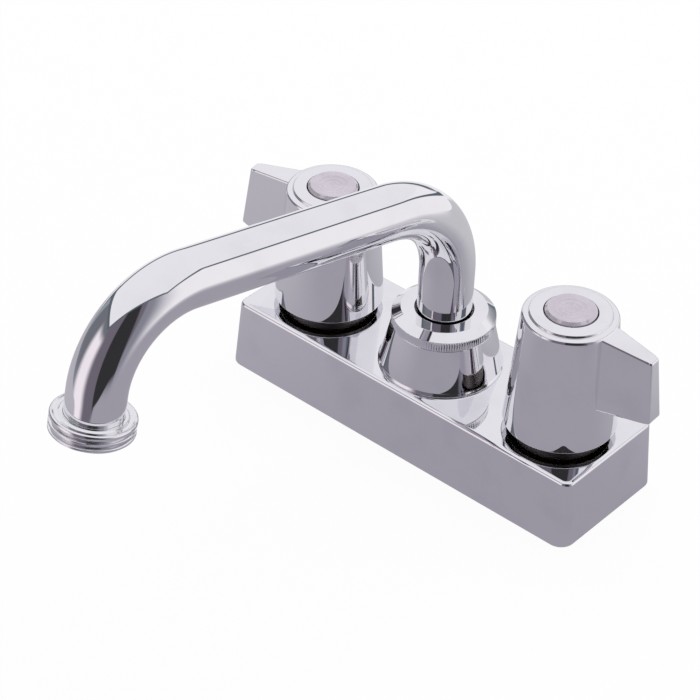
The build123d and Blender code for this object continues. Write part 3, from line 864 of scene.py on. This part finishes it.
@dataclass
class Nut:
    """The spout nut: a knurled band, a bevel and a flat top round the tube."""

    radius: float = 17.7
    flange: float = 42.3
    shoulder: float = 45.7
    top: float = 48.0
    bevel: float = 3.0
    top_edge: float = 0.35
    hole: float = 10.05
    plate: float = 42.5
    spigot: float = 15.9
    spigot_inner: float = 13.2
    spigot_end: float = 33.5
    teeth: int = 128
    tooth_depth: float = 0.28
    tooth_end: float = 0.35
    band_margin: float = 0.5
    band_depth: float = 0.6
    samples: int = 8

    def knurl(self, body: Array, angle: Array) -> Array:
        """Teeth on the band alone: a rounded wave in the angle that fades out at the band's ends.

        Args:
            body: Outline rows (r, z).
            angle: The columns' angles.

        Returns:
            The change of radius.
        """
        radius, height = body.T
        on_band = (radius > self.radius - self.band_depth) & (height < self.shoulder + NICK)
        rise = ramp(height - self.flange, self.tooth_end) * ramp(self.shoulder - height, self.tooth_end)
        valley = (1 - np.cos(angle * self.teeth)) / 2
        return -(on_band * rise)[:, None] * valley[None, :] * self.tooth_depth

    def build(self) -> None:
        """Makes and places the nut."""
        outline = rounded(
            (self.spigot_inner, self.spigot_end, FINE),
            (self.spigot, self.spigot_end, SOFT),
            (self.spigot, self.flange, CRISP),
            (self.radius, self.flange, BROKEN),
            (self.radius, self.flange + self.band_margin, 0),
            (self.radius, self.shoulder - self.band_margin, 0),
            (self.radius, self.shoulder, BROKEN),
            (self.radius - self.bevel, self.top, self.top_edge),
            (self.hole, self.top, BROKEN),
            (self.hole, self.plate, CRISP),
            (self.spigot_inner, self.plate, CRISP),
        )
        surface = lathe(outline, 0, self.teeth * self.samples, wobble=self.knurl)
        made = piece("nut_ring", surface, [FINISHES[Slot.CHROME].material()])
        stand_for(made, "spout_nut", Body.ROOT)


@dataclass
class Spout:
    """The bent tube and the threaded end for a hose."""

    swivel: float = 6.0
    radius: float = 9.35
    wall: float = 1.0
    foot: float = 33.05
    riser_top: float = 63.6
    first_bend: float = 36.3
    rise: float = 9.0
    arm: float = 83.0
    second_bend: float = 30.6
    tilt: float = 10.0
    tail: float = 7.4
    socket: float = 4.2
    # Rings along the riser, the bend, the arm, the bend and the tail, and points in a ring
    rings: tuple = (12, 56, 24, 56, 8)
    sides: int = 144
    # The hose end: its thread, its collar and the groove in the collar's face
    thread_radius: float = 13.4
    thread_depth: float = 1.2
    fullness: float = 0.97
    valley: float = 0.3
    pitch: float = 2.209
    crest: float = 0.55
    crest_at: float = 3.53
    thread_start: float = 0.7
    thread_finish: float = 0.35
    run_out: float = 0.5
    collar: float = 1.7
    collar_heel: float = 0.55
    collar_edge: float = 0.85
    undercut: float = 0.28
    bore: float = 7.5
    end: float = 6.79
    fit: float = 0.05
    lip: float = 0.12
    groove_in: float = 10.35
    groove_out: float = 12.0
    groove_flank: float = 0.6
    groove_depth: float = 0.5
    mouth_edge: float = 0.08
    row_margins: tuple = (0.35, 0.45)
    row_step: float = 0.085
    end_sides: int = 360

    def __post_init__(self) -> None:
        """Works out the upright plane that the spout points along, and the tube's middle line in it."""
        turn = math.radians(self.swivel)
        self.out = np.array([-math.sin(turn), -math.cos(turn), 0.0])
        self.up = np.array([0.0, 0.0, 1.0])
        self.side = np.cross(self.out, self.up)
        self.line, self.headings, self.outlet = self.path()

    def path(self) -> tuple:
        """The tube's middle line: a riser, an arc, a straight arm, an arc and a tail.

        A straight run is place + s * size * way for shares s from 0 to 1. An arc turns down by s * turn about
        a centre that lies its radius, size, to the right of the way; its end rings belong to the runs.

        Returns:
            Points (out, up) and headings in radians above level, both along the line, and the outlet's point.
        """
        lift, down = math.radians(self.rise), math.radians(self.tilt)
        place, heading = np.array([0.0, self.foot]), math.pi / 2
        runs = (
            (self.riser_top - self.foot, 0),
            (self.first_bend, heading - lift),
            (self.arm, 0),
            (self.second_bend, heading + lift - down),
            (self.tail + self.socket, 0),
        )
        points, headings = [], []
        for rings, (size, turn) in zip(self.rings, runs):
            share = np.linspace(0, 1, rings)
            angles = heading - turn * share
            way = np.array([math.cos(heading), math.sin(heading)])
            line = place + way * size * share[:, None]
            if turn:
                centre = place + size * np.array([way[1], -way[0]])
                line = centre + size * np.stack([-np.sin(angles), np.cos(angles)], 1)
            inner = slice(1, -1) if turn else slice(None)
            points.append(line[inner])
            headings.append(angles[inner])
            place, heading = line[-1], angles[-1]
        outlet = place - way * self.socket
        return np.vstack(points), np.concatenate(headings), outlet

    def tube(self) -> Surface:
        """The tube: a ring of radius r is carried along the path, out on the outside and back on the inside.

        Returns:
            A closed surface.
        """
        angle = np.arange(self.sides) / self.sides * TURN
        across = np.stack([-np.sin(self.headings), np.cos(self.headings)], 1)
        middle = self.line[:, :1] * self.out + self.line[:, 1:] * self.up
        over = across[:, :1] * self.out + across[:, 1:] * self.up
        ring = np.cos(angle)[None, :, None] * over[:, None, :] + np.sin(angle)[None, :, None] * self.side
        outer = middle[:, None, :] + self.radius * ring
        inner = (middle[:, None, :] + (self.radius - self.wall) * ring)[::-1]
        points = np.concatenate([outer, inner]).reshape(-1, 3)
        return Surface(points, grid_faces(2 * len(middle), self.sides, True))

    def thread(self, body: Array, angle: Array) -> Array:
        """The helical ridge: its height falls off the crest over the flanks, and it runs out at both ends.

        Args:
            body: Outline rows (r, distance along the outlet).
            angle: The columns' angles.

        Returns:
            The change of radius.
        """
        flank = (self.pitch - self.crest) / 2
        along = body[:, 1:]
        lag = (along - self.crest_at) / self.pitch - angle[None, :] / TURN
        off = np.abs((lag + 0.5) % 1 - 0.5) * self.pitch
        height = np.clip((self.crest / 2 + flank - off) / flank, 0, 1)
        height = height * height * (3 - 2 * height)
        fade = ramp(along - self.collar - self.thread_start, self.run_out)
        fade = fade * ramp(self.end - self.thread_finish - along, self.run_out)
        on_thread = body[:, :1] > self.thread_radius - self.thread_depth - HAIR
        below = (along > self.collar + SOFT) & (along < self.end - FINE)
        rise = (self.thread_depth * self.fullness + self.valley) * height * fade - self.valley * fade
        return rise * on_thread * below

    def hose_end(self) -> Surface:
        """The collar and thread, turned about the outlet's own axis.

        Returns:
            A closed surface in the spout's frame.
        """
        root = self.thread_radius - self.thread_depth
        shoulder = self.collar + self.undercut
        rows = np.arange(shoulder + self.row_margins[0], self.end - self.row_margins[1], self.row_step)
        outline = rounded(
            (self.radius + self.fit, 0, self.mouth_edge),
            (self.radius + self.fit, self.socket + self.fit, NICK),
            (self.bore, self.socket + self.fit, CRISP),
            (self.bore, self.end, SOFT),
            (root, self.end, ROUND),
            *[(root, at, 0) for at in rows[::-1]],
            (root, shoulder, KEEN),
            (self.thread_radius, self.collar, self.collar_heel),
            (self.thread_radius, self.lip, self.collar_edge),
            (self.groove_out + self.groove_flank, self.lip, BROKEN),
            (self.groove_out, self.groove_depth, FINE),
            (self.groove_in + self.groove_flank, self.groove_depth, SOFT),
            (self.groove_in, 0, SOFT),
        )
        surface = lathe(outline, 0, self.end_sides, wobble=self.thread)
        heading = self.headings[-1]
        way = math.cos(heading) * self.out + math.sin(heading) * self.up
        over = -math.sin(heading) * self.out + math.cos(heading) * self.up
        start = self.outlet[0] * self.out + self.outlet[1] * self.up
        x, y, along = surface.points.T
        surface.points = start + x[:, None] * over + y[:, None] * self.side + along[:, None] * way
        return surface

    def build(self) -> None:
        """Makes and places the tube and its hose end."""
        tube = piece("spout_pipe", self.tube(), [FINISHES[Slot.CHROME].material()])
        end = piece("hose_end", self.hose_end(), [TURNED_FINISH.material()])
        stand_for(tube, "spout_tube", Body.SPOUT)
        stand_for(end, "hose_thread_end", Body.SPOUT)


@dataclass
class Control:
    """A handle with its wing and index button, on one side."""

    name: str
    body: Body
    centre: float
    turn: float
    skirt: float = 19.1
    skirt_height: float = 28.7
    rim: float = 15.9
    rim_height: float = 71.6
    rim_edge: float = 1.3
    plateau: float = 13.7
    plateau_edge: float = 0.85
    rise: float = 1.0
    wall: float = 2.0
    inside_margin: float = 0.15
    pit: float = 8.95
    pit_floor: float = 64.0
    web: float = 60.2
    boss: float = 7.2
    boss_bottom: float = 52.6
    screw_hole: float = 2.45
    stem_hole: float = 4.12
    cone_rows: int = 19
    cone_sides: int = 288
    # The wing: reach, depth of its root in the cone, and half widths and heights, each at root and tip
    wing_reach: float = 32.6
    wing_lean: float = 6.0
    wing_root: float = 1.5
    wing_half: tuple = (4.9, 2.4)
    wing_draft: float = 3.0
    wing_top: tuple = (71.0, 68.6)
    wing_under: tuple = (43.4, 45.4)
    wing_edge: float = 1.0
    least_edge: float = 0.02
    wing_rings: int = 22
    tip_rings: int = 9
    sharp: float = 35.0
    # The button: its cap, its dish and the rings in it, each (radius, width, height)
    button: float = 8.6
    button_top: float = 73.7
    button_cap: float = 3.6
    button_bevel: float = 0.9
    button_wall: float = 1.6
    button_gap: float = 0.2
    dish: float = 6.3
    dish_depth: float = 0.5
    dish_margin: float = 0.12
    dish_rows: int = 90
    button_sides: int = 192
    button_rings: tuple = ((1.7, 0.35, 0.11), (3.4, 0.4, 0.15), (5.2, 0.45, 0.18))

    @property
    def slope(self) -> float:
        """How much the cone's radius grows for each millimetre down."""
        return (self.skirt - self.rim) / (self.rim_height - self.skirt_height)

    def cone(self) -> Surface:
        """The hollow cone: skirt, rim, raised plateau, button pit, web and boss.

        Returns:
            A closed surface, with the inside in the second material, whose dark tone is partly painted shade.
        """
        drop = self.rim_height - self.skirt_height
        roof = self.rim + self.slope * (self.rim_height - self.web) - self.wall
        sides = [
            (self.skirt - self.slope * share * drop, self.skirt_height + share * drop, 0)
            for share in np.linspace(0.05, 0.95, self.cone_rows)
        ]
        outline = rounded(
            (self.skirt - self.wall, self.skirt_height, SOFT),
            (self.skirt, self.skirt_height, SOFT),
            *sides,
            (self.rim, self.rim_height, self.rim_edge),
            (self.plateau, self.rim_height, BROKEN),
            (self.plateau, self.rim_height + self.rise, self.plateau_edge),
            (self.pit, self.rim_height + self.rise, SOFT),
            (self.pit, self.pit_floor, FINE),
            (self.screw_hole, self.pit_floor, CRISP),
            (self.screw_hole, self.web, CRISP),
            (self.stem_hole, self.web, CRISP),
            (self.stem_hole, self.boss_bottom, CRISP),
            (self.boss, self.boss_bottom, SOFT),
            (self.boss, self.web, SOFT),
            (roof, self.web, SOFT),
        )
        surface = lathe(outline, self.centre, self.cone_sides)
        radius, height = outline.T
        lining = self.skirt - self.slope * (height - self.skirt_height) - self.wall + self.inside_margin
        rows = np.flatnonzero((height < self.web + HAIR) & (radius < lining))
        surface.second = (rows[:, None] * self.cone_sides + np.arange(self.cone_sides)).ravel()
        return surface

    def wing(self) -> Surface:
        """The wing: a rounded four-sided outline that shrinks towards a leaning tip, with a rounded end.

        Ring s of the grid is the outline at share s of the way from root to tip. The last rings are inset by
        a quarter circle, so that the tip's edges are round.

        Returns:
            A closed surface.
        """
        lean = math.tan(math.radians(self.wing_lean))
        spread = math.tan(math.radians(self.wing_draft))

        def ring(share: float, inset: float = 0.0, push: float = 0.0) -> Array:
            """One outline.

            Args:
                share: Its place from root to tip.
                inset: How much smaller it is than the full size.
                push: How far it is pushed back along the wing.

            Returns:
                Points (along the wing, across it, up).
            """
            pairs = (self.wing_top, self.wing_under, self.wing_half)
            top, under, half = (root + (tip - root) * share for root, tip in pairs)
            foot = half + (top - under) * spread
            edge = max(self.wing_edge - inset, self.least_edge)
            flat = rounded(
                (-half + inset, top - inset, edge),
                (-foot + inset, under + inset, edge),
                (foot - inset, under + inset, edge),
                (half - inset, top - inset, edge),
                steps=6,
                hold=0.05,
            )
            start = self.skirt - self.slope * (flat[:, 1] - self.skirt_height) - self.wing_root
            end = self.wing_reach + (self.wing_top[1] - flat[:, 1]) * lean
            reach = (start + (end - start) * share if share < 1 else end) - push
            return np.column_stack([reach, flat])

        rings = [ring(share) for share in (0.0, *np.linspace(0.02, 0.9, self.wing_rings))]
        rings.append(ring(1.0, push=self.wing_edge + NICK))
        for angle in np.linspace(0, math.pi / 2, self.tip_rings):
            inset, push = self.wing_edge * (1 - math.cos(angle)), self.wing_edge * (1 - math.sin(angle))
            rings.append(ring(1.0, inset, push))
        points = np.vstack(rings)
        columns = len(rings[0])
        last = len(points) - columns
        faces = grid_faces(len(rings), columns, False)
        faces.append(tuple(range(columns))[::-1])
        faces.append(tuple(range(last, last + columns)))
        angle = math.radians(self.turn)
        out = np.array([math.cos(angle), math.sin(angle), 0])
        side = np.array([-math.sin(angle), math.cos(angle), 0])
        placed = np.array([self.centre, 0, 0]) + points[:, :1] * out + points[:, 1:2] * side
        placed[:, 2] = points[:, 2]
        return Surface(placed, faces)

    def build_handle(self) -> Object:
        """Makes the handle: the cone and the wing are joined by a boolean into one closed mesh.

        Returns:
            The piece.
        """
        # The second material darkens the handle's inside: part raw casting tone, part painted shade
        finish = [FINISHES[Slot.CHROME].material(), CASTING_AND_SHADE_FINISH.material()]
        made = piece(f"{self.name}_lever", self.cone(), finish)
        wing = piece(f"{self.name}_wing", self.wing(), finish)
        union = made.modifiers.new("union", "BOOLEAN")
        union.operation, union.solver, union.object = "UNION", "EXACT", wing
        ready = bpy.context.evaluated_depsgraph_get()
        mesh = bpy.data.meshes.new_from_object(made.evaluated_get(ready))
        made.modifiers.clear()
        made.data = mesh
        bpy.data.objects.remove(wing)
        shade_smooth(mesh, self.sharp)
        return made

    def build_button(self) -> Object:
        """Makes the button: a bevelled cap with a shallow dish and fine rings, and a hollow skirt.

        The dish is a cap cut from a ball; each ring in it is a bell curve of the distance from the ring.

        Returns:
            The piece.
        """
        cap = self.button_top - self.button_cap
        plug = self.pit_floor + self.button_gap
        ball = (self.dish**2 + self.dish_depth**2) / (2 * self.dish_depth)
        across = np.linspace(self.dish - self.dish_margin, 0.0, self.dish_rows)
        depth = np.sqrt(ball**2 - across**2) - (ball - self.dish_depth)
        for at, width, height in self.button_rings:
            depth -= height * np.exp(-(((across - at) / width) ** 2))
        bowl = np.column_stack([across, self.button_top - depth])
        edge = rounded(
            (0, cap, 0),
            (self.button - self.button_wall, cap, FINE),
            (self.button - self.button_wall, plug, CRISP),
            (self.button, plug, CRISP),
            (self.button, self.button_top - self.button_bevel, BROKEN),
            (self.button - self.button_bevel, self.button_top, BROKEN),
            (self.dish + FINE, self.button_top, 0),
            closed=False,
        )
        surface = lathe(np.vstack([edge, bowl]), self.centre, self.button_sides, closed=False)
        return piece(f"{self.name}_cap", surface, [FINISHES[Slot.BUTTON].material()])

    def build(self) -> None:
        """Makes and places the handle and the button."""
        stand_for(self.build_handle(), f"{self.name}_handle", self.body)
        stand_for(self.build_button(), f"{self.name}_index_button", self.body)


@dataclass
class Shank:
    """An inlet shank: flange and stub, and a helical thread down through the deck."""

    name: str
    centre: float
    radius: float = 10.4
    bore: float = 5.8
    length: float = 50.0
    flange: float = 13.0
    flange_top: float = 4.0
    stub: float = 8.5
    stub_top: float = 11.0
    pitch: float = 1.814
    thread_depth: float = 0.95
    thread_start: float = 0.6
    run_out: float = 0.8
    row_margins: tuple = (0.5, 0.6)
    row_step: float = 0.15
    sides: int = 96
    sharp: float = 60.0

    def thread(self, body: Array, angle: Array) -> Array:
        """A rounded vee thread: the radius falls and rises once in a pitch and lags with the angle.

        Args:
            body: Outline rows (r, z).
            angle: The columns' angles.

        Returns:
            The change of radius.
        """
        radius, height = body[:, :1], body[:, 1:]
        lag = height / self.pitch - angle[None, :] / TURN
        valley = np.abs((lag % 1) * 2 - 1)
        shaped = np.clip(valley * 1.2 - 0.1, 0, 1)
        fade = ramp(-self.thread_start - height, self.run_out)
        fade = fade * ramp(height + self.length - SOFT, self.run_out)
        on_thread = (radius > self.radius - NICK) & (height < -CRISP)
        return -self.thread_depth * shaped * fade * on_thread

    def build(self) -> None:
        """Makes and places the shank."""
        rows = np.arange(-self.row_margins[0], -self.length + self.row_margins[1], -self.row_step)
        outline = rounded(
            (self.bore, self.stub_top, FINE),
            (self.bore, -self.length, SOFT),
            (self.radius, -self.length, ROUND),
            *[(self.radius, at, 0) for at in rows[::-1]],
            (self.radius, 0, NICK),
            (self.flange, 0, FINE),
            (self.flange, self.flange_top, FINE),
            (self.stub, self.flange_top, CRISP),
            (self.stub, self.stub_top, SOFT),
        )
        surface = lathe(outline, self.centre, self.sides, wobble=self.thread)
        made = piece(f"{self.name}_thread", surface, [FINISHES[Slot.BRASS].material()], self.sharp)
        stand_for(made, f"{self.name}_inlet_shank", Body.ROOT)


class Carried:
    """The CAD nodes that keep their own shape: those that show get smooth copies, the others a finish."""

    # The ring nuts and bonnets take the dark grey brass, which is painted shade
    shade_painted = ("ring_nut", "bonnet")
    smoothed = (*shade_painted, "base_gasket", "mounting_washer", "mounting_nut", "bonnet_seal", "slip_washer")
    merge = 0.0005
    sharp = 25.0

    def build(self, covered: set) -> None:
        """Dresses every node that no new piece stands for.

        Args:
            covered: Nodes that are already replaced.
        """
        record = frame["record"]
        slots = {part["node"]: Slot(part["material_slot"]) for part in record["subparts"]}
        bodies = {node: Body(body) for body, nodes in record["behaviour"]["bodies"].items() for node in nodes}
        used = sorted(set(slots.values()), key=lambda slot: slot.value)
        materials = {slot: FINISHES[slot].material() for slot in used}
        shade_painted = SHADE_PAINTED_BRASS_FINISH.material()
        for node, made in sorted(frame["nodes"].items()):
            if node in covered:
                continue
            if node.endswith(self.smoothed):
                # Ring nuts and bonnets get the dark brass that stands for the shade under the handles
                finish = shade_painted if node.endswith(self.shade_painted) else materials[slots[node]]
                stand_for(self.smooth_copy(node, made, finish), node, bodies[node])
                continue
            made.data.materials.clear()
            made.data.materials.append(materials[slots[node]])

    def smooth_copy(self, node: str, source: Object, finish: Material) -> Object:
        """Copies a node's mesh with its doubles merged and its curved faces shaded smooth.

        Args:
            node: The node's name.
            source: The node's object.
            finish: The material.

        Returns:
            The copy.
        """
        mesh = source.data.copy()
        with edited(mesh) as work:
            bmesh.ops.remove_doubles(work, verts=work.verts, dist=self.merge * MM)
        mesh.materials.clear()
        mesh.materials.append(finish)
        shade_smooth(mesh, self.sharp)
        return add_object(f"{node}_smooth", mesh)


def main() -> None:
    """Builds the studio and every piece."""
    logging.basicConfig(level=logging.INFO, format="%(name)s: %(message)s")
    Studio().build()
    Base().build()
    Nut().build()
    Spout().build()
    covered = {"base_shroud", "spout_hub", "spout_nut", "spout_tube", "hose_thread_end"}
    sides = (("hot", Body.HOT, -HALF_SPAN, 188.0), ("cold", Body.COLD, HALF_SPAN, 3.3))
    for name, body, centre, turn in sides:
        Control(name, body, centre, turn).build()
        Shank(name, centre).build()
        covered |= {f"{name}_{part}" for part in ("handle", "index_button", "inlet_shank")}
    Carried().build(covered)


if __name__ == "__main__":
    main()
